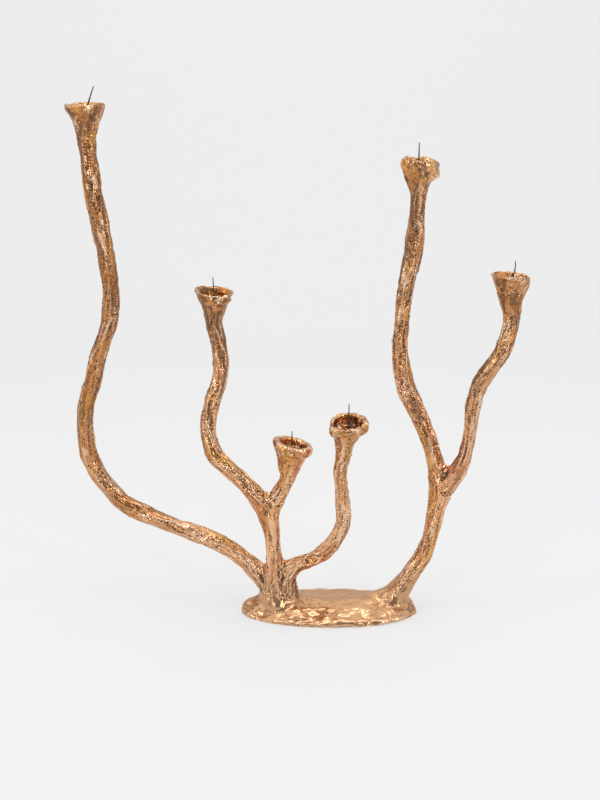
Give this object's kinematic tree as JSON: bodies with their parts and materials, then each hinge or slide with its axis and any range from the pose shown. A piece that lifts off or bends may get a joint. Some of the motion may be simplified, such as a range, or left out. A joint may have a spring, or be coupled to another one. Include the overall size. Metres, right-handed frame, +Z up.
{
  "type": "tabletop candelabra",
  "caption": "Branching tabletop candle stand in cast bronze: two tree-like clusters of wavy limbs rise from one oval mound base to flared cups, each with a steel spike for a candle.",
  "frame": {"origin": "on the table, under the middle of the oval base, on the felt's underside", "axes": "+Z up; +X to the right along the base's length, towards the tree that forks in two; +Y to the back"},
  "size_m": [0.4469, 0.1026, 0.5349],
  "materials": {
    "bronze": "polished cast bronze, rose-gold, dark patina left in the hollows",
    "steel": "dull grey steel wire, ground to a point",
    "felt": "dark pressed felt"
  },
  "bodies": {
    "root": {"base_casting": "bronze", "left_arm": "bronze", "centre_stem": "bronze", "centre_left_branch": "bronze", "centre_low_branch": "bronze", "middle_arm": "bronze", "right_trunk": "bronze", "right_tall_branch": "bronze", "right_low_branch": "bronze", "cup_far_left": "bronze", "cup_centre_left": "bronze", "cup_centre_low": "bronze", "cup_middle": "bronze", "cup_right_tall": "bronze", "cup_right_low": "bronze", "pricket_far_left": "steel", "pricket_centre_left": "steel", "pricket_centre_low": "steel", "pricket_middle": "steel", "pricket_right_tall": "steel", "pricket_right_low": "steel", "base_felt": "felt"}
  },
  "joints": []
}
